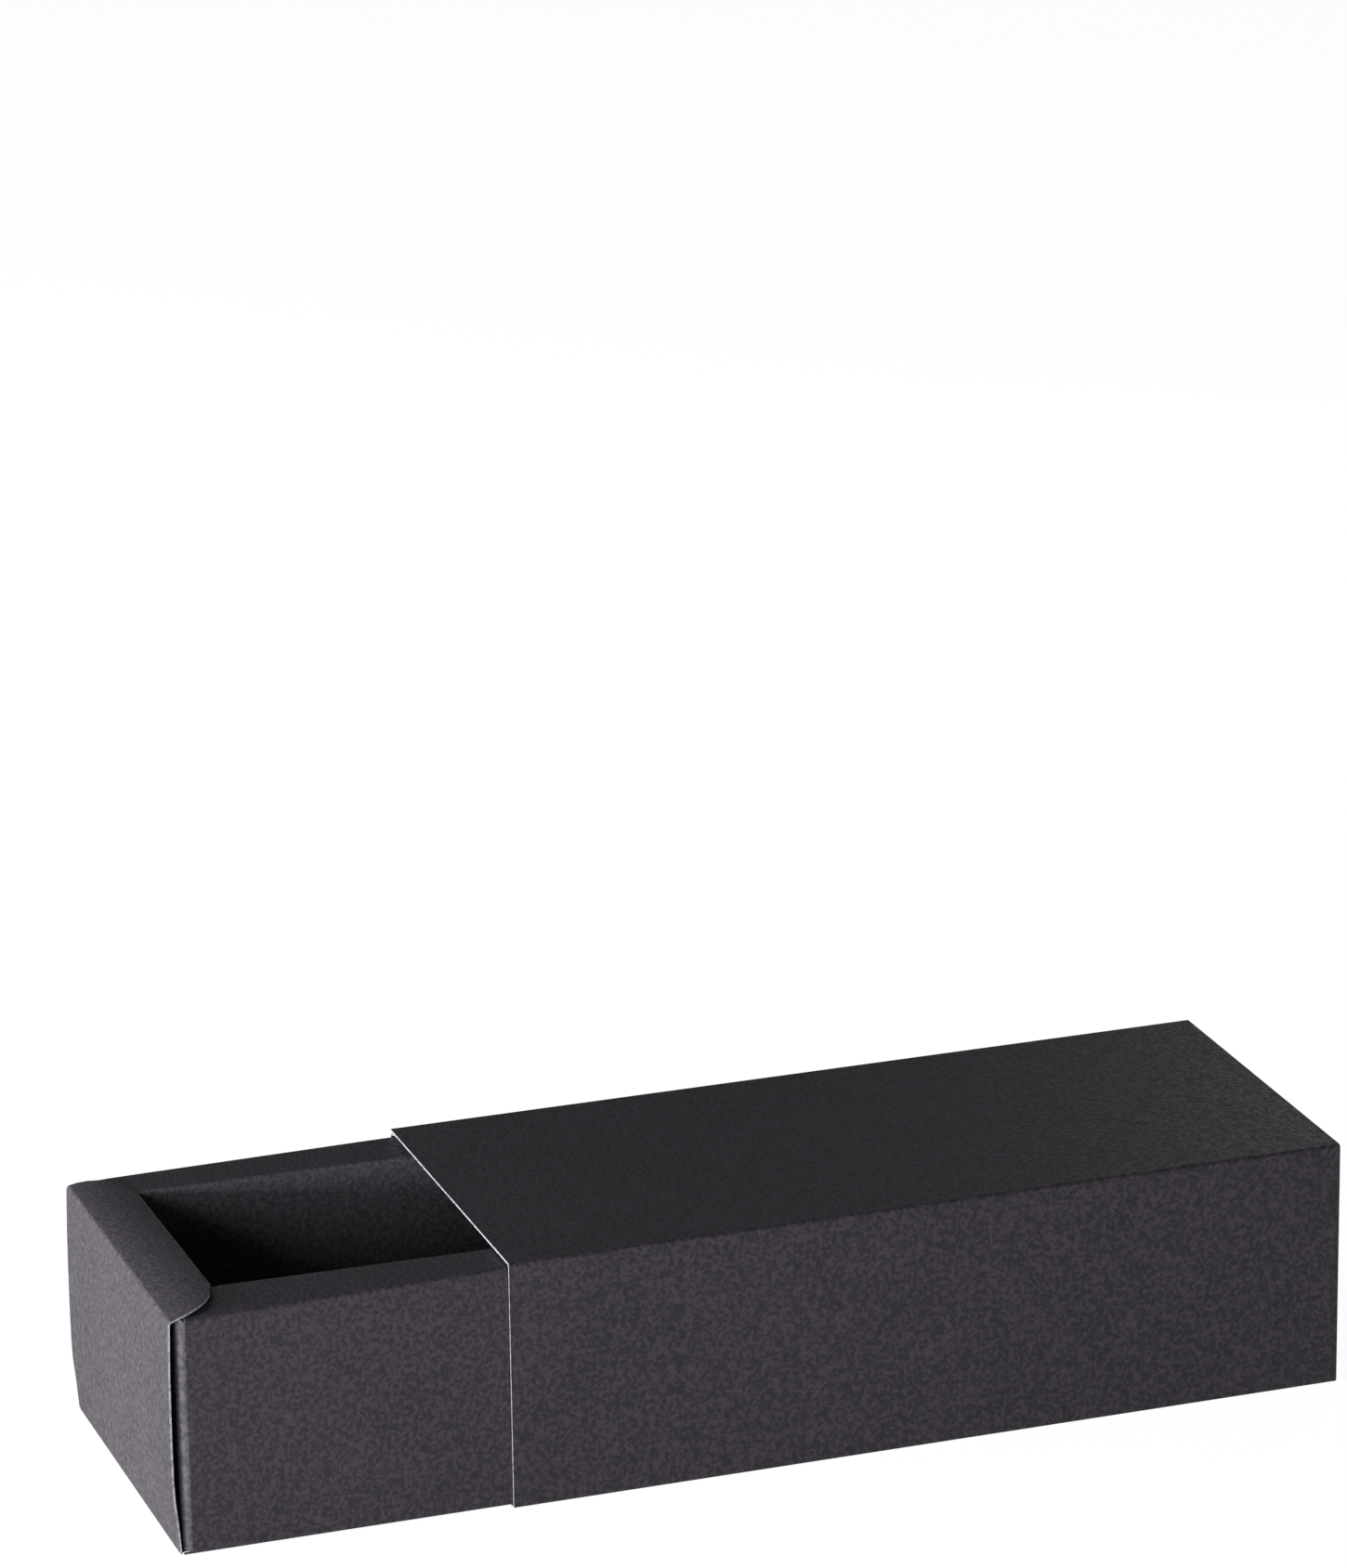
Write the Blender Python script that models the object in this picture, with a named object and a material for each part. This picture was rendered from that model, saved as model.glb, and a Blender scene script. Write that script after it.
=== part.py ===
"""Sliding drawer gift box: an open sleeve of folded card, and a hollow-walled card tray that slides in it.

Metres, +Z up. The origin is the centre of the face that the sleeve lies on. X runs across the box and
Y along it. The drawer comes out towards -Y and stands part way out. Each sheet is drawn as the flat
panels between its creases: a panel is laid out flat with its outer face up, then turned to face its way.
"""
from math import cos, pi, sin, sqrt

import bmesh
import bpy
from mathutils import Vector

# Card
CARD = 0.0004
CREASE_GAP = 0.0003
LAP_GAP = 0.0003

# Sleeve, outside sizes
SLEEVE_LENGTH = 0.170
SLEEVE_WIDTH = 0.075
SLEEVE_HEIGHT = 0.050

# Glued seam along the sleeve's top left edge
GLUE_FLAP_WIDTH = 0.014
GLUE_FLAP_TAPER = 0.006
GLUE_FLAP_END_INSET = 0.001
GLUE_FILM = 0.0001
GLUE_CLEARANCE = 0.0001
GLUE_MARGIN = 0.002

# Drawer, and its running clearances in the sleeve
SIDE_CLEARANCE = 0.0003
FLOOR_CLEARANCE = 0.0003
TOP_CLEARANCE = 0.0015
END_SETBACK = 0.0005
DRAWER_OUT = 0.0664
SIDE_RIM_WIDTH = 0.011
END_RIM_WIDTH = 0.012
CORNER_GAP = 0.0008
DUST_FLAP_LENGTH = 0.028
RIM_SHOULDER = 0.0008
RIM_LIP = 0.0008
RIM_ARC_STEPS = 12

# Look of the card and the glue
CARD_COLOUR = (0.045, 0.042, 0.048, 1.0)
CARD_ROUGHNESS = 0.5
CARD_METALLIC = 0.3
GLUE_COLOUR = (0.75, 0.73, 0.66, 1.0)
GLUE_ROUGHNESS = 0.35

# Worked out from the sizes above
CREASE_SETBACK = CREASE_GAP / sqrt(2)
SEAM_Z = SLEEVE_HEIGHT - CARD - 2 * GLUE_CLEARANCE - GLUE_FILM
DRAWER_LENGTH = SLEEVE_LENGTH - 2 * END_SETBACK
DRAWER_WIDTH = SLEEVE_WIDTH - 2 * (CARD + SIDE_CLEARANCE)
DRAWER_HEIGHT = SLEEVE_HEIGHT - 2 * CARD - FLOOR_CLEARANCE - TOP_CLEARANCE
CAVITY_WIDTH = DRAWER_WIDTH - 2 * SIDE_RIM_WIDTH
SIDE_RIM_Z = DRAWER_HEIGHT - CARD - LAP_GAP
ABOVE_FLOOR_Z = CARD + LAP_GAP
SIDE_START_Y = CARD + CORNER_GAP
SIDE_LENGTH = DRAWER_LENGTH - 2 * SIDE_START_Y
INNER_START_Y = SIDE_START_Y + CARD + LAP_GAP
INNER_LENGTH = DRAWER_LENGTH - 2 * INNER_START_Y

FACING = {
    "up": (0, 0, 0),
    "down": (0, pi, 0),
    "right": (0, pi / 2, 0),
    "left": (0, -pi / 2, 0),
    "front": (pi / 2, 0, 0),
    "back": (pi / 2, 0, pi),
}


def rectangle(width, length, creases=()):
    """Outline of a rectangular panel: corners anticlockwise, each with whether its next side is a crease."""
    x, y = width / 2, length / 2
    return [
        (-x, -y, "-y" in creases),
        (x, -y, "+x" in creases),
        (x, y, "+y" in creases),
        (-x, y, "-x" in creases),
    ]


def glue_flap_outline():
    """The seam flap: creased along -x, with both ends cut at a slant so that they stay off the mouths."""
    x = GLUE_FLAP_WIDTH / 2
    crease_y = SLEEVE_LENGTH / 2 - GLUE_FLAP_END_INSET
    edge_y = crease_y - GLUE_FLAP_TAPER
    return [(-x, -crease_y, False), (x, -edge_y, False), (x, edge_y, False), (-x, crease_y, True)]


def end_rim_outline():
    """The rim panel of an end wall: full width at its outer crease, with round ends to the cavity's corners.

    y is 0 at the outer crease and END_RIM_WIDTH at the crease into the cavity.
    """
    outer_x = DRAWER_WIDTH / 2
    inner_x = CAVITY_WIDTH / 2
    arc_y = END_RIM_WIDTH - RIM_LIP - RIM_SHOULDER
    right = []
    for step in range(RIM_ARC_STEPS + 1):
        angle = pi / 2 * step / RIM_ARC_STEPS
        x = inner_x + (outer_x - inner_x) * cos(angle)
        right.append((x, RIM_SHOULDER + arc_y * sin(angle)))
    outline = [(-outer_x, 0, True), (outer_x, 0, False)]
    outline += [(x, y, False) for x, y in right]
    outline += [(inner_x, END_RIM_WIDTH, True), (-inner_x, END_RIM_WIDTH, False)]
    outline += [(-x, y, False) for x, y in reversed(right)]
    return outline


def set_back(outline, distance):
    """Corners of an outline once each of its creases has moved inwards by a distance."""
    corners = []
    for number, (x, y, creased) in enumerate(outline):
        before = outline[number - 1]
        after = outline[(number + 1) % len(outline)]
        arriving = Vector((x - before[0], y - before[1])).normalized()
        leaving = Vector((after[0] - x, after[1] - y)).normalized()
        turn = arriving.cross(leaving)
        arriving_shift = distance if before[2] else 0
        leaving_shift = distance if creased else 0
        corners.append(Vector((x, y)) + (leaving * arriving_shift - arriving * leaving_shift) / turn)
    return corners


def surface(name, colour, roughness, metallic=0.0):
    """A plain Principled material for one piece."""
    material = bpy.data.materials.new(name)
    material.use_nodes = True
    shader = material.node_tree.nodes["Principled BSDF"]
    shader.inputs["Base Color"].default_value = colour
    shader.inputs["Roughness"].default_value = roughness
    shader.inputs["Metallic"].default_value = metallic
    material.diffuse_color = colour
    return material


def add_sheet(name, outline, place, facing, thickness, material, parent=None):
    """Adds one flat piece, its outer face through place; creased sides are mitred to meet the next panel."""
    outer_corners = set_back(outline, CREASE_SETBACK)
    inner_corners = set_back(outline, CREASE_SETBACK + thickness)
    shape = bmesh.new()
    outer = [shape.verts.new((x, y, 0)) for x, y in outer_corners]
    inner = [shape.verts.new((x, y, -thickness)) for x, y in inner_corners]
    shape.faces.new(outer)
    shape.faces.new(reversed(inner))
    for number in range(len(outer)):
        shape.faces.new((outer[number - 1], inner[number - 1], inner[number], outer[number]))
    mesh = bpy.data.meshes.new(name)
    shape.to_mesh(mesh)
    shape.free()
    mesh.materials.append(material)
    piece = bpy.data.objects.new(name, mesh)
    piece.location = place
    piece.rotation_euler = FACING[facing]
    piece.parent = parent
    bpy.context.scene.collection.objects.link(piece)
    return piece


def add_card(name, outline, place, facing, parent=None):
    """Adds one panel of the black card."""
    material = surface(name + "_card", CARD_COLOUR, CARD_ROUGHNESS, CARD_METALLIC)
    return add_sheet(name, outline, place, facing, CARD, material, parent)


def build_sleeve():
    """The sleeve: four panels round an open tube, with a glue flap that laps under the top's free edge."""
    half_width = SLEEVE_WIDTH / 2
    both_sides = ("-x", "+x")
    bottom = rectangle(SLEEVE_WIDTH, SLEEVE_LENGTH, both_sides)
    add_card("sleeve_bottom", bottom, (0, 0, 0), "down")
    right = rectangle(SLEEVE_HEIGHT, SLEEVE_LENGTH, both_sides)
    add_card("sleeve_right_side", right, (half_width, 0, SLEEVE_HEIGHT / 2), "right")
    top = rectangle(SLEEVE_WIDTH, SLEEVE_LENGTH, ("+x",))
    add_card("sleeve_top", top, (0, 0, SLEEVE_HEIGHT), "up")
    left = rectangle(SEAM_Z, SLEEVE_LENGTH, both_sides)
    add_card("sleeve_left_side", left, (-half_width, 0, SEAM_Z / 2), "left")
    flap_x = -half_width + GLUE_FLAP_WIDTH / 2
    add_card("sleeve_glue_flap", glue_flap_outline(), (flap_x, 0, SEAM_Z), "up")
    glue_length = SLEEVE_LENGTH - 2 * (GLUE_FLAP_END_INSET + GLUE_FLAP_TAPER + GLUE_MARGIN)
    glue = rectangle(GLUE_FLAP_WIDTH - 2 * GLUE_MARGIN, glue_length)
    glue_place = (flap_x, 0, SEAM_Z + GLUE_CLEARANCE + GLUE_FILM)
    glue_look = surface("sleeve_glue_dried", GLUE_COLOUR, GLUE_ROUGHNESS)
    add_sheet("sleeve_glue", glue, glue_place, "up", GLUE_FILM, glue_look)


def add_drawer_slide():
    """The drawer's own frame: an empty on the slide axis, at the foot of the drawer's front wall."""
    slide = bpy.data.objects.new("drawer_slide", None)
    slide.location = (0, -SLEEVE_LENGTH / 2 - DRAWER_OUT, CARD + FLOOR_CLEARANCE)
    slide.empty_display_size = SIDE_RIM_WIDTH
    bpy.context.scene.collection.objects.link(slide)
    return slide


def build_drawer_side(side, sign, slide):
    """One long wall: up from the floor, over as the rim and down again to the floor, hollow between."""
    middle_y = DRAWER_LENGTH / 2
    outer_x = sign * DRAWER_WIDTH / 2
    inner_x = sign * CAVITY_WIDTH / 2
    away, towards = ("right", "left") if sign > 0 else ("left", "right")
    name = "drawer_" + side
    wall = rectangle(SIDE_RIM_Z, SIDE_LENGTH, ("-x", "+x", "-y", "+y"))
    add_card(name + "_outer_wall", wall, (outer_x, middle_y, SIDE_RIM_Z / 2), away, slide)
    rim = rectangle(SIDE_RIM_WIDTH, SIDE_LENGTH, ("-x", "+x"))
    add_card(name + "_rim", rim, ((outer_x + inner_x) / 2, middle_y, SIDE_RIM_Z), "up", slide)
    top_crease = ("+x",) if towards == "left" else ("-x",)
    inner_wall = rectangle(SIDE_RIM_Z - ABOVE_FLOOR_Z, INNER_LENGTH, top_crease)
    inner_place = (inner_x, middle_y, (SIDE_RIM_Z + ABOVE_FLOOR_Z) / 2)
    add_card(name + "_inner_wall", inner_wall, inner_place, towards, slide)


def build_drawer_end(end, at_front, slide):
    """One end wall, whose rim panel lies over both side rims and folds down into the cavity."""
    name = "drawer_" + end
    outer_y = 0 if at_front else DRAWER_LENGTH
    inner_y = END_RIM_WIDTH if at_front else DRAWER_LENGTH - END_RIM_WIDTH
    away, towards = ("front", "back") if at_front else ("back", "front")
    wall = rectangle(DRAWER_WIDTH, DRAWER_HEIGHT, ("-y", "+y"))
    add_card(name + "_outer_wall", wall, (0, outer_y, DRAWER_HEIGHT / 2), away, slide)
    rim = add_card(name + "_rim", end_rim_outline(), (0, outer_y, DRAWER_HEIGHT), "up", slide)
    if not at_front:
        rim.rotation_euler = (0, 0, pi)
    inner_wall = rectangle(CAVITY_WIDTH - 2 * LAP_GAP, DRAWER_HEIGHT - ABOVE_FLOOR_Z, ("+y",))
    inner_place = (0, inner_y, (DRAWER_HEIGHT + ABOVE_FLOOR_Z) / 2)
    add_card(name + "_inner_wall", inner_wall, inner_place, towards, slide)


def build_dust_flaps(end, at_front, slide):
    """The two flaps folded in from the long walls, tucked behind an end wall."""
    flap_y = SIDE_START_Y if at_front else DRAWER_LENGTH - SIDE_START_Y
    facing = "front" if at_front else "back"
    low_z = ABOVE_FLOOR_Z
    high_z = SIDE_RIM_Z - CARD - LAP_GAP
    for side, sign in (("right", 1), ("left", -1)):
        crease = "+x" if (sign > 0) == at_front else "-x"
        flap = rectangle(DUST_FLAP_LENGTH, high_z - low_z, (crease,))
        middle_x = sign * (DRAWER_WIDTH - DUST_FLAP_LENGTH) / 2
        place = (middle_x, flap_y, (low_z + high_z) / 2)
        add_card("drawer_" + end + "_" + side + "_dust_flap", flap, place, facing, slide)


def build_drawer():
    """The drawer: one sheet folded into a floor and four hollow walls."""
    slide = add_drawer_slide()
    floor = rectangle(DRAWER_WIDTH, DRAWER_LENGTH, ("-x", "+x", "-y", "+y"))
    add_card("drawer_floor", floor, (0, DRAWER_LENGTH / 2, 0), "down", slide)
    for side, sign in (("right", 1), ("left", -1)):
        build_drawer_side(side, sign, slide)
    for end, at_front in (("front", True), ("back", False)):
        build_drawer_end(end, at_front, slide)
        build_dust_flaps(end, at_front, slide)


for leftover in list(bpy.data.objects):
    bpy.data.objects.remove(leftover, do_unlink=True)
build_sleeve()
build_drawer()
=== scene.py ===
"""A sliding drawer gift box of folded black card.

An open sleeve holds a hollow-walled drawer that slides out of one end.
"""
import math
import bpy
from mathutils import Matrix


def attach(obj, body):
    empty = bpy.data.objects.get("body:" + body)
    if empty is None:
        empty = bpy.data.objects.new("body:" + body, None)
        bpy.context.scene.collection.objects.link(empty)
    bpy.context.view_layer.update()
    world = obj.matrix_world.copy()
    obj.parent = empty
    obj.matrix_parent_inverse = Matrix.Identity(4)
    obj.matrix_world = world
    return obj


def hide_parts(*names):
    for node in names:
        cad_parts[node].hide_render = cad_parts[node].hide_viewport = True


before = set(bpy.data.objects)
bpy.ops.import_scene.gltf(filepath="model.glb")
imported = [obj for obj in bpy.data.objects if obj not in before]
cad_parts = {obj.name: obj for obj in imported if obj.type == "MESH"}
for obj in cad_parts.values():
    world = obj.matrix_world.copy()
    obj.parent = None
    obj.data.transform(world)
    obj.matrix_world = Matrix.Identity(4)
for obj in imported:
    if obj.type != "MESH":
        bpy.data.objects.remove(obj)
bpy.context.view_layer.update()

from types import SimpleNamespace

import bmesh
import bpy
from mathutils import Matrix, Vector

scene = bpy.context.scene
MM = 0.001


# ---------------------------------------------------------------- camera
# The box is seen from its long near side, with the drawer coming out to the left. The lens is long, so the
# edges hardly converge. Azimuth, elevation and roll are the direction of sight.
CAMERA_PLACE = (1.22373, -0.46085, 0.55797)
CAMERA_AZIMUTH, CAMERA_ELEVATION, CAMERA_ROLL = 70.9453, 18.3994, -0.7770
LENS_MM = 164.56
CLIP_NEAR, CLIP_FAR = 0.05, 40

camera = bpy.data.objects.new("camera", bpy.data.cameras.new("camera"))
camera.data.lens = LENS_MM
camera.data.clip_start, camera.data.clip_end = CLIP_NEAR, CLIP_FAR
camera.matrix_world = (
    Matrix.Translation(CAMERA_PLACE)
    @ Matrix.Rotation(math.radians(CAMERA_AZIMUTH), 4, "Z")
    @ Matrix.Rotation(math.radians(90 - CAMERA_ELEVATION), 4, "X")
    @ Matrix.Rotation(math.radians(CAMERA_ROLL), 4, "Z")
)
scene.collection.objects.link(camera)
scene.camera = camera


# ---------------------------------------------------------------- studio
# A white table that runs back to the horizon, with one broad low light beyond the drawer's end and weaker ones
# round about. The table is white to the camera and pale in reflections, and the rest of its tone comes from the
# light that falls on it, so the box keeps its shadow.
FLOOR_RADIUS = 9.0
FLOOR_DROP = 0.05 * MM
WHITE_TO_CAMERA, WHITE_IN_GLOSS = 0.85, 0.2
WHITE_GLOW = 1.13
AIR_LIGHT = 0.05
LIGHTS_AIM = (0, -0.03, 0.02)


def hex_colour(code):
    """An sRGB hex colour as the linear colour that a shader socket takes."""
    parts = [int(code[i : i + 2], 16) / 255 for i in (1, 3, 5)]
    return (*[p / 12.92 if p <= 0.04045 else ((p + 0.055) / 1.055) ** 2.4 for p in parts], 1.0)


def add_node(tree, kind, settings=None, links=None):
    """Adds a node: settings are its properties and socket values, links are {socket: the output that feeds it}."""
    made = tree.nodes.new(kind)
    for key, value in (settings or {}).items():
        if isinstance(key, str) and hasattr(made, key):
            setattr(made, key, value)
        else:
            made.inputs[key].default_value = value
    for socket, source in (links or {}).items():
        tree.links.new(source, made.inputs[socket])
    return made


def new_tree(material):
    """The material's empty node tree."""
    material.use_nodes = True
    material.node_tree.nodes.clear()
    return material.node_tree


bm = bmesh.new()
bmesh.ops.create_circle(
    bm, cap_ends=True, segments=64, radius=FLOOR_RADIUS, matrix=Matrix.Translation((0, 0, -FLOOR_DROP))
)
table_top = bpy.data.objects.new("table_top", bpy.data.meshes.new("table_top"))
bm.to_mesh(table_top.data)
bm.free()
scene.collection.objects.link(table_top)

white_table = bpy.data.materials.new("white_table")
tree = new_tree(white_table)
paths = add_node(tree, "ShaderNodeLightPath")
direct, through, mirrored = (
    add_node(tree, "ShaderNodeMath", {"operation": "MULTIPLY", 1: share}, {0: paths.outputs[ray]})
    for ray, share in (
        ("Is Camera Ray", WHITE_TO_CAMERA),
        ("Is Transmission Ray", WHITE_TO_CAMERA),
        ("Is Glossy Ray", WHITE_IN_GLOSS),
    )
)
looked_at = add_node(tree, "ShaderNodeMath", {"operation": "MAXIMUM"}, {0: direct.outputs[0], 1: through.outputs[0]})
seen = add_node(tree, "ShaderNodeMath", {"operation": "MAXIMUM"}, {0: looked_at.outputs[0], 1: mirrored.outputs[0]})
lit = add_node(tree, "ShaderNodeBsdfDiffuse", {"Color": hex_colour("#EDEDEF")})
glow = add_node(tree, "ShaderNodeEmission", {"Color": hex_colour("#FFFFFF"), "Strength": WHITE_GLOW})
both = add_node(tree, "ShaderNodeMixShader", None, {0: seen.outputs[0], 1: lit.outputs[0], 2: glow.outputs[0]})
add_node(tree, "ShaderNodeOutputMaterial", None, {"Surface": both.outputs[0]})
table_top.data.materials.append(white_table)

scene.world = bpy.data.worlds.new("studio_air")
scene.world.use_nodes = True
scene.world.node_tree.nodes["Background"].inputs["Color"].default_value = hex_colour("#F4F4F6")
scene.world.node_tree.nodes["Background"].inputs["Strength"].default_value = AIR_LIGHT


def soft_light(name, place, size, watts):
    """A softbox aimed at the middle of the box; size is its width and height."""
    lamp = bpy.data.objects.new(name, bpy.data.lights.new(name, "AREA"))
    lamp.data.shape, lamp.data.energy = "RECTANGLE", watts
    lamp.data.size, lamp.data.size_y = size
    aim = (Vector(LIGHTS_AIM) - Vector(place)).to_track_quat("-Z", "Y")
    lamp.matrix_world = Matrix.LocRotScale(Vector(place), aim, None)
    scene.collection.objects.link(lamp)


soft_light("key_low_beyond_the_drawer_end", (0.2, -1.3, 0.12), (0.9, 0.2), 33)
soft_light("fill_near_left", (0.6, -0.62, 0.2), (0.3, 0.3), 3.3)
soft_light("fill_behind_the_drawer", (-0.6, -0.45, 0.6), (0.4, 0.4), 1.8)
soft_light("fill_far_left", (-0.9, -0.9, 0.3), (0.8, 0.5), 3.2)
soft_light("fill_far_right", (0.1, 1.3, 0.22), (0.8, 0.4), 3.5)
soft_light("glint_behind_the_far_end", (-0.5, 0.45, 0.22), (0.25, 0.25), 0.28)

scene.view_settings.view_transform = "Standard"


# ---------------------------------------------------------------- sleeve
# The sleeve is one sheet of black pearlescent card, 0.4 mm thick, creased into four panels and rolled into an
# open tube. Its last panel is glued down over a flap along the hidden top edge, where the raw edge shows.
CARD = 0.4 * MM
FOLD_RADIUS = 0.7 * MM
FOLD_STEPS = 6
SLIGHT_TURN = math.radians(10)
NEAR = 1e-6
SLEEVE_HALF_WIDTH, SLEEVE_HALF_LENGTH, SLEEVE_HEIGHT = 37.5 * MM, 85 * MM, 50 * MM
GLUE_FLAP_Z, GLUE_FLAP_EDGE, GLUE_FLAP_SHOULDER = 49.3 * MM, 23.5 * MM, 35.5 * MM
GLUE_FLAP_INSET, GLUE_FLAP_TAPER = 1 * MM, 6 * MM
# The fold slot is paler: partly wear of the coat on the crease, partly a painted highlight along it.
FACE, CUT_EDGE, WORN_AND_HIGHLIGHTED_FOLD = 0, 1, 2


def lay_panel(bm, at, length, half_width=None):
    """Lays a flat panel on from the open edges, and sets its far edge's half width."""
    made = bmesh.ops.extrude_edge_only(bm, edges=at.edges)["geom"]
    verts = [g for g in made if isinstance(g, bmesh.types.BMVert)]
    bmesh.ops.translate(bm, verts=verts, vec=at.heading * length)
    if half_width:
        across = at.heading.cross(at.inward)
        middle = sum((v.co.dot(across) for v in verts)) / len(verts)
        reach = max(abs(v.co.dot(across) - middle) for v in verts)
        for v in verts:
            v.co += across * ((v.co.dot(across) - middle) * (half_width / reach - 1))
    at.edges = [g for g in made if isinstance(g, bmesh.types.BMEdge) and all(v in verts for v in g.verts)]


def turn_inward(at, angle):
    """Turns the way that the sheet goes towards the inside of the box."""
    turn = Matrix.Rotation(angle, 3, at.heading.cross(at.inward))
    at.heading, at.inward = turn @ at.heading, turn @ at.inward


def roll_fold(bm, at, angle, radius, finish):
    """Rolls the sheet round a crease, towards the inside of the box."""
    flat = set(bm.faces)
    verts = list({v for e in at.edges for v in e.verts})
    made = bmesh.ops.spin(
        bm,
        geom=verts + at.edges,
        cent=verts[0].co + at.inward * radius,
        axis=at.heading.cross(at.inward),
        angle=angle,
        steps=FOLD_STEPS,
    )["geom_last"]
    for f in set(bm.faces) - flat:
        f.material_index = finish
    at.edges = [g for g in made if isinstance(g, bmesh.types.BMEdge)]
    turn_inward(at, angle)


def follow(bm, edges, out, inward, profile, radius=FOLD_RADIUS, worn_and_highlighted=()):
    """Folds the sheet up from the open edges along a profile of points (out, up, half width) across its creases.

    The first point is the crease at the open edges, and the last argument numbers the points whose creases take
    the paler fold finish, partly wear of the coat and partly a painted highlight along the crease. A turn too slight
    for a crease only bends the panel.
    """
    at = SimpleNamespace(edges=edges, heading=Vector(out), inward=Vector(inward))
    ways = [Vector((b[0] - a[0], b[1] - a[1])) for a, b in zip(profile, profile[1:])]
    angles = [math.atan2(w.y, w.x) % math.tau for w in ways]
    turns = [angles[0]] + [b - a for a, b in zip(angles, angles[1:])] + [0.0]
    trims = [radius * math.tan(t / 2) if t > SLIGHT_TURN else 0.0 for t in turns]
    for i, way in enumerate(ways):
        half_width = profile[i + 1][2]
        if callable(half_width):
            at.edges = [e for e in at.edges if all(half_width(v.co) for v in e.verts)]
            half_width = None
        if turns[i] > SLIGHT_TURN:
            roll_fold(bm, at, turns[i], radius, WORN_AND_HIGHLIGHTED_FOLD if i in worn_and_highlighted else FACE)
        else:
            turn_inward(at, turns[i])
        lay_panel(bm, at, way.length - trims[i] - trims[i + 1], half_width)


def open_edges(bm, test):
    """The sheet's open edges whose two ends both pass the test."""
    return [e for e in bm.edges if e.is_boundary and all(test(v.co) for v in e.verts)]


def card_object(bm, name):
    """Gives the folded sheet its thickness and pale cut edges, and makes it an object."""
    bmesh.ops.recalc_face_normals(bm, faces=bm.faces[:])
    base = min(bm.faces, key=lambda f: f.calc_center_median().z + (1 - abs(f.normal.z)))
    if base.normal.z > 0:
        bmesh.ops.reverse_faces(bm, faces=bm.faces[:])
    bm.normal_update()
    outer = set(bm.verts)
    bmesh.ops.solidify(bm, geom=bm.faces[:], thickness=CARD)
    for f in bm.faces:
        f.smooth = True
        if len({v in outer for v in f.verts}) == 2:
            f.material_index = CUT_EDGE
    for e in bm.edges:
        e.smooth = len({f.material_index == CUT_EDGE for f in e.link_faces}) == 1
    made = bpy.data.objects.new(name, bpy.data.meshes.new(name))
    bm.to_mesh(made.data)
    bm.free()
    scene.collection.objects.link(made)
    even = made.modifiers.new("even light on flat panels", "WEIGHTED_NORMAL")
    even.keep_sharp = True
    for material in (card_face, card_edge, card_fold_wear_and_highlight):
        made.data.materials.append(material)
    return made


# Pearlescent black card is dyed board with a thin mica coat on a felt-marked surface. The coat gives a soft
# grey sheen that follows the light, and the felt marks break it into curling grains about a millimetre long.
FELT_SCALE = 1 / (0.9 * MM)
CURL_SCALE = 1 / (2.4 * MM)
CURL_REACH = 1.6 * MM
CLOUD_SCALE = 1 / (22 * MM)
CLOUD_SHARE = 0.2
MICA_SCALE = 1 / (0.3 * MM)
MICA_SHARE = 0.15
GLOSS_SWING = 0.08
FELT_RANGE = 0.38, 0.68
FELT_DEPTH = 0.04 * MM


def card_finish(name, dark, light, roughness):
    """Pearlescent card between two colours, for the flat face or, paler, for a fold: partly wear of the coat, partly a
    painted highlight.
    """
    material = bpy.data.materials.new(name)
    tree = new_tree(material)
    place = add_node(tree, "ShaderNodeTexCoord").outputs["Object"]
    bend = add_node(tree, "ShaderNodeTexNoise", {"Scale": CURL_SCALE, "Detail": 1.0}, {"Vector": place})
    curl = add_node(
        tree, "ShaderNodeVectorMath", {"operation": "SCALE", "Scale": CURL_REACH}, {0: bend.outputs["Color"]}
    )
    curled = add_node(tree, "ShaderNodeVectorMath", {"operation": "ADD"}, {0: place, 1: curl.outputs[0]})
    felt = add_node(tree, "ShaderNodeTexNoise", {"Scale": FELT_SCALE, "Detail": 1.0}, {"Vector": curled.outputs[0]})
    cloud = add_node(tree, "ShaderNodeTexNoise", {"Scale": CLOUD_SCALE, "Detail": 2.0}, {"Vector": place})
    mica = add_node(tree, "ShaderNodeTexVoronoi", {"Scale": MICA_SCALE}, {"Vector": place})
    low, high = FELT_RANGE
    grain = add_node(tree, "ShaderNodeMapRange", {"From Min": low, "From Max": high}, {"Value": felt.outputs[0]})
    tone = add_node(
        tree,
        "ShaderNodeMath",
        {"operation": "MULTIPLY_ADD", 1: CLOUD_SHARE},
        {0: cloud.outputs[0], 2: grain.outputs[0]},
    )
    colour = add_node(
        tree,
        "ShaderNodeMix",
        {"data_type": "RGBA", 6: hex_colour(dark), 7: hex_colour(light)},
        {0: tone.outputs[0]},
    )
    gloss = add_node(
        tree,
        "ShaderNodeMapRange",
        {"To Min": roughness + GLOSS_SWING, "To Max": roughness - GLOSS_SWING},
        {"Value": grain.outputs[0]},
    )
    flecks = add_node(
        tree,
        "ShaderNodeMath",
        {"operation": "MULTIPLY_ADD", 1: MICA_SHARE, 2: -MICA_SHARE / 3},
        {0: mica.outputs["Distance"]},
    )
    rough = add_node(tree, "ShaderNodeMath", {"operation": "ADD"}, {0: gloss.outputs[0], 1: flecks.outputs[0]})
    bump = add_node(
        tree, "ShaderNodeBump", {"Strength": 0.8, "Distance": FELT_DEPTH}, {"Height": grain.outputs[0]}
    )
    shader = add_node(
        tree,
        "ShaderNodeBsdfPrincipled",
        {"IOR": 1.5, "Specular IOR Level": 0.5},
        {"Base Color": colour.outputs[2], "Roughness": rough.outputs[0], "Normal": bump.outputs[0]},
    )
    add_node(tree, "ShaderNodeOutputMaterial", None, {"Surface": shader.outputs[0]})
    return material


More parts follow.
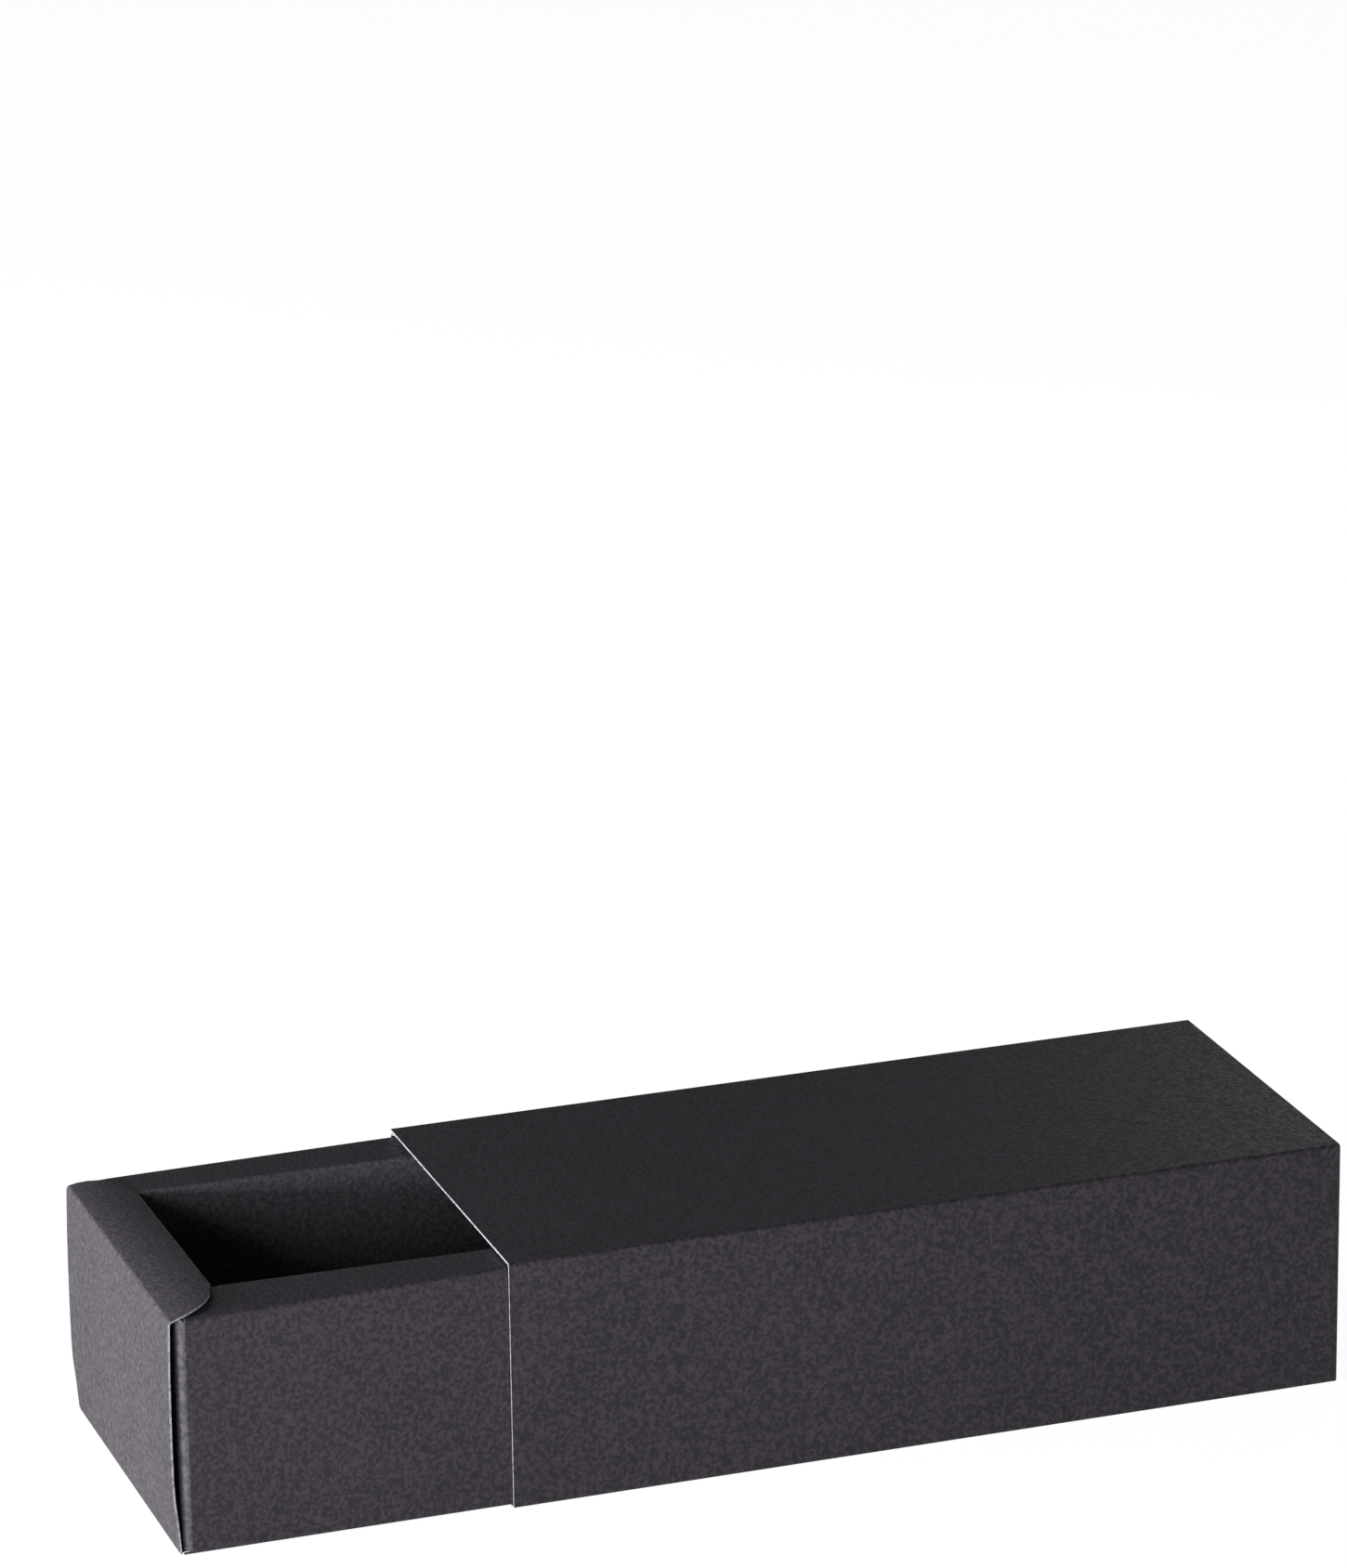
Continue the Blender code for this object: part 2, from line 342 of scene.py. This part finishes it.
# The cut edge shows the board's paler core: short grey fibres, darker here and there where dye has drawn in
# from the faces. It is dry and quite without gloss.
FIBRE_SCALE, FIBRE_DEPTH = 1400, 0.05 * MM


def cut_edge_finish():
    """The raw cut through the card."""
    material = bpy.data.materials.new("raw_cut_board_core")
    tree = new_tree(material)
    place = add_node(tree, "ShaderNodeTexCoord").outputs["Object"]
    fibres = add_node(tree, "ShaderNodeTexNoise", {"Scale": FIBRE_SCALE, "Detail": 2.0}, {"Vector": place})
    dye = add_node(tree, "ShaderNodeMapRange", {"From Min": 0.36, "From Max": 0.55}, {"Value": fibres.outputs[0]})
    colour = add_node(
        tree,
        "ShaderNodeMix",
        {"data_type": "RGBA", 6: hex_colour("#77757A"), 7: hex_colour("#ACAAAF")},
        {0: dye.outputs[0]},
    )
    bump = add_node(tree, "ShaderNodeBump", {"Strength": 0.4, "Distance": FIBRE_DEPTH}, {"Height": fibres.outputs[0]})
    shader = add_node(
        tree,
        "ShaderNodeBsdfPrincipled",
        {"Roughness": 0.9, "Specular IOR Level": 0.3},
        {"Base Color": colour.outputs[2], "Normal": bump.outputs[0]},
    )
    add_node(tree, "ShaderNodeOutputMaterial", None, {"Surface": shader.outputs[0]})
    return material


card_face = card_finish("pearlescent_black_card", "#1D1A1E", "#3D3740", 0.5)
# The fold finish is paler than the face: partly wear where the coat cracks, partly a painted highlight standing in for
# the light that a rounded crease catches.
card_fold_wear_and_highlight = card_finish("pearlescent_black_card_fold_wear_and_painted_highlight", "#38353A", "#57535A", 0.55)
card_edge = cut_edge_finish()

bm = bmesh.new()
bmesh.ops.create_grid(
    bm,
    x_segments=6,
    y_segments=14,
    size=0.5,
    matrix=Matrix.Diagonal((2 * (SLEEVE_HALF_WIDTH - FOLD_RADIUS), 2 * SLEEVE_HALF_LENGTH, 1, 1)),
)
bottom_edge = SLEEVE_HALF_WIDTH - FOLD_RADIUS - NEAR
near_edges = open_edges(bm, lambda p: p.x > bottom_edge)
far_edges = open_edges(bm, lambda p: p.x < -bottom_edge)
follow(
    bm, near_edges, (1, 0, 0), (0, 0, 1),
    [
        (SLEEVE_HALF_WIDTH, 0, SLEEVE_HALF_LENGTH),
        (SLEEVE_HALF_WIDTH, SLEEVE_HEIGHT, SLEEVE_HALF_LENGTH),
        (-SLEEVE_HALF_WIDTH, SLEEVE_HEIGHT, SLEEVE_HALF_LENGTH),
    ],
)
follow(
    bm, far_edges, (-1, 0, 0), (0, 0, 1),
    [
        (SLEEVE_HALF_WIDTH, 0, SLEEVE_HALF_LENGTH),
        (SLEEVE_HALF_WIDTH, GLUE_FLAP_Z, SLEEVE_HALF_LENGTH),
        (GLUE_FLAP_SHOULDER, GLUE_FLAP_Z, SLEEVE_HALF_LENGTH - GLUE_FLAP_INSET),
        (GLUE_FLAP_EDGE, GLUE_FLAP_Z, SLEEVE_HALF_LENGTH - GLUE_FLAP_INSET - GLUE_FLAP_TAPER),
    ],
)
sleeve_sheet = card_object(bm, "sleeve_folded_card")
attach(sleeve_sheet, "sleeve")
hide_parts("sleeve_bottom", "sleeve_right_side", "sleeve_top", "sleeve_left_side", "sleeve_glue_flap")


# ---------------------------------------------------------------- drawer
# The drawer is one die-cut sheet of the same card. Each wall goes up, over a rim and down inside, so the walls
# are hollow and nothing is glued. The end rims have rounded corners and lie over the ends of the side rims,
# and small flaps from the side walls fold in behind the end walls, which spring out a little in the middle.
DRAWER_MIDDLE = -66.9 * MM
FLOOR_Z = 0.5 * MM
SIDE_FACE, INNER_FACE = 36.8 * MM, 25.8 * MM
SIDE_HALF_LENGTH = 80.85 * MM
INNER_FOOT = 1.4 * MM
FLAP_FOOT, DUST_FLAP, DUST_FLAP_TAPER = 1.3 * MM, 28 * MM, 1.2 * MM
DUST_FOLD_RADIUS = 1.6 * MM
SIDE_TOP = 48.4 * MM
FLAP_HEAD = SIDE_TOP - FOLD_RADIUS
END_CREASE, END_TOP, END_INNER_FACE = 83.3 * MM, 84.1 * MM, 72.5 * MM
END_HALF_WIDTH, END_INNER_HALF = 36.7 * MM, 25.5 * MM
END_FOLD_Z, END_WALL_LEAN = 47.6 * MM, 0.05 * MM
END_WALL_BULGE = [(83.8, 7.2), (84.25, 11.5), (84.43, 16), (84.47, 23), (84.45, 30), (84.38, 37.4), (84.22, 43.9)]
ROUND_START, ROUND_STEPS, ROUND_MARGIN = 0.12, 8, 1 * MM
INNER_WALL_SPARE = 0.3 * MM
OUTER_COLUMN, STEADY_COLUMN = 0.75, 0.951
EXTRA_ROWS = [71 * MM, 72.6 * MM, 74.5 * MM, 77 * MM, 79.5 * MM]

floor_half_width, floor_half_length = SIDE_FACE - FOLD_RADIUS, END_CREASE - FOLD_RADIUS
bm = bmesh.new()
bmesh.ops.create_grid(
    bm,
    x_segments=8,
    y_segments=14,
    size=0.5,
    matrix=Matrix.Translation((0, 0, FLOOR_Z)) @ Matrix.Diagonal((2 * floor_half_width, 2 * floor_half_length, 1, 1)),
)
for v in bm.verts:
    if abs(abs(v.co.x) - OUTER_COLUMN * floor_half_width) < NEAR:
        v.co.x *= STEADY_COLUMN / OUTER_COLUMN
for row in EXTRA_ROWS:
    for y in (row, -row):
        bmesh.ops.bisect_plane(bm, geom=bm.verts[:] + bm.edges[:] + bm.faces[:], plane_co=(0, y, 0), plane_no=(0, 1, 0))

side_verts, end_verts = {}, {}
for side in (1, -1):
    before = set(bm.verts)
    side_edges = open_edges(bm, lambda p: side * p.x > floor_half_width - NEAR and p.z < FLOOR_Z + NEAR)
    follow(
        bm, side_edges, (side, 0, 0), (0, 0, 1),
        [
            (SIDE_FACE, FLOOR_Z, floor_half_length),
            (SIDE_FACE, FLAP_FOOT, SIDE_HALF_LENGTH),
            (SIDE_FACE, SIDE_TOP, SIDE_HALF_LENGTH),
            (INNER_FACE, SIDE_TOP, SIDE_HALF_LENGTH),
            (INNER_FACE, INNER_FOOT, SIDE_HALF_LENGTH),
        ],
        # The inner fold of each side rim takes the paler fold finish, partly wear and partly a painted highlight.
        worn_and_highlighted=(3,),
    )
    for end in (1, -1):
        flap_edges = open_edges(
            bm,
            lambda p: end * p.y > SIDE_HALF_LENGTH - NEAR
            and abs(side * p.x - SIDE_FACE) < NEAR
            and FLAP_FOOT - NEAR < p.z < FLAP_HEAD + NEAR,
        )
        tall = (FLAP_HEAD - FLAP_FOOT) / 2
        follow(
            bm, flap_edges, (0, end, 0), (-side, 0, 0),
            [(0, 0, tall), (0, DUST_FLAP, tall - DUST_FLAP_TAPER)],
            # The dust flap's fold takes the paler fold finish, partly wear and partly a painted highlight.
            radius=DUST_FOLD_RADIUS, worn_and_highlighted=(0,),
        )
    side_verts[side] = set(bm.verts) - before

for end in (1, -1):
    before = set(bm.verts)
    end_edges = open_edges(bm, lambda p: end * p.y > floor_half_length - NEAR and p.z < FLOOR_Z + NEAR)
    profile = [(END_CREASE, FLOOR_Z, floor_half_width), (END_CREASE + END_WALL_LEAN, FLAP_FOOT, END_HALF_WIDTH)]
    profile += [(y * MM, z * MM, END_HALF_WIDTH) for y, z in END_WALL_BULGE]
    profile.append((END_TOP, END_FOLD_Z, END_HALF_WIDTH))
    for step in range(1, ROUND_STEPS + 1):
        angle = math.pi / 2 * step / ROUND_STEPS
        depth = (END_TOP - END_INNER_FACE - ROUND_MARGIN) * math.sin(angle)
        reach = ROUND_START + (1 - ROUND_START) * math.cos(angle)
        profile.append((END_TOP - depth, END_FOLD_Z, END_INNER_HALF + (END_HALF_WIDTH - END_INNER_HALF) * reach))
    profile.append((END_INNER_FACE, END_FOLD_Z, profile[-1][2]))
    profile.append((END_INNER_FACE, INNER_FOOT, lambda p: abs(p.x) < END_INNER_HALF + INNER_WALL_SPARE))
    # The inner fold of each end rim takes the paler fold finish, partly wear and partly a painted highlight.
    follow(bm, end_edges, (0, end, 0), (0, 0, 1), profile, worn_and_highlighted=(len(profile) - 2,))
    end_verts[end] = set(bm.verts) - before


def clamp(value):
    """The value held between 0 and 1."""
    return min(max(value, 0.0), 1.0)


def between(a, b, share):
    """The value that lies a share of the way from a to b."""
    return a + (b - a) * share


# Folded card never settles quite flat: the end rims lean up from their outer folds to the opening, the side rims
# ride high in the middle and are pressed down where the end rims lie over them, and the dust flaps reach up to
# the end rims.
END_RISE_FAR, END_RISE_NEAR = 1.2 * MM, 1.95 * MM
SIDE_RISES = {  # height over SIDE_TOP at the outer and inner folds: by the end rims, then in the middle
    1: ((-0.5 * MM, 0.9 * MM), (0.6 * MM, 0.4 * MM)),
    -1: ((-0.1 * MM, 0.3 * MM), (0.4 * MM, -0.2 * MM)),
}
RELAXED_FROM, RELAXED_OVER = 72.5 * MM, 54.5 * MM
UNDER_THE_RIM = CARD + 0.1 * MM
FLAP_LIFT = 0.5 * DUST_FOLD_RADIUS


def end_rise(y, x):
    """How far an end rim stands over its outer fold, at a distance y from the drawer's middle."""
    open_share = clamp((END_TOP - abs(y)) / (END_TOP - END_INNER_FACE))
    near_share = clamp(x / END_INNER_HALF / 2 + 0.5)
    return between(END_RISE_FAR, END_RISE_NEAR, near_share) * (1 - (1 - open_share) ** between(3, 2, near_share))


for side, verts in side_verts.items():
    by_the_ends, in_the_middle = SIDE_RISES[side]
    for v in verts:
        inside = clamp((SIDE_FACE - abs(v.co.x)) / (SIDE_FACE - INNER_FACE))
        relaxed = clamp((RELAXED_FROM - abs(v.co.y)) / RELAXED_OVER)
        top = SIDE_TOP + between(between(*by_the_ends, inside), between(*in_the_middle, inside), relaxed)
        if abs(v.co.y) > END_INNER_FACE:
            ceiling = END_FOLD_Z + end_rise(v.co.y, side * END_INNER_HALF) - UNDER_THE_RIM
            in_the_flap = clamp((abs(v.co.y) - SIDE_HALF_LENGTH) / FLAP_LIFT)
            top = between(min(top, ceiling), ceiling + FOLD_RADIUS, in_the_flap)
        v.co.z *= between(1, top / SIDE_TOP, clamp(v.co.z / SIDE_TOP))
for verts in end_verts.values():
    for v in verts:
        v.co.z += end_rise(v.co.y, v.co.x) * clamp(v.co.z / END_FOLD_Z)

bmesh.ops.translate(bm, verts=bm.verts, vec=(0, DRAWER_MIDDLE, 0))
drawer_sheet = card_object(bm, "drawer_folded_card")
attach(drawer_sheet, "drawer")
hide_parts(*[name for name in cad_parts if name.startswith("drawer_")])


# ---------------------------------------------------------------- glue
# A thin run of white craft glue holds the sleeve's last panel down on its flap. It dries clear and slightly
# yellow, and was pressed flat before it set.
SWIPE_SCALE, SWIPE_DEPTH = 300, 0.05 * MM

dried_glue = bpy.data.materials.new("dried_white_glue")
tree = new_tree(dried_glue)
place = add_node(tree, "ShaderNodeTexCoord").outputs["Object"]
swipe = add_node(tree, "ShaderNodeTexNoise", {"Scale": SWIPE_SCALE, "Detail": 2.0}, {"Vector": place})
colour = add_node(
    tree,
    "ShaderNodeMix",
    {"data_type": "RGBA", 6: hex_colour("#B9B29C"), 7: hex_colour("#D8D3C4")},
    {0: swipe.outputs[0]},
)
bump = add_node(tree, "ShaderNodeBump", {"Strength": 0.5, "Distance": SWIPE_DEPTH}, {"Height": swipe.outputs[0]})
shader = add_node(
    tree, "ShaderNodeBsdfPrincipled", {"Roughness": 0.35}, {"Base Color": colour.outputs[2], "Normal": bump.outputs[0]}
)
add_node(tree, "ShaderNodeOutputMaterial", None, {"Surface": shader.outputs[0]})
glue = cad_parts["sleeve_glue"]
glue.data.materials.clear()
glue.data.materials.append(dried_glue)
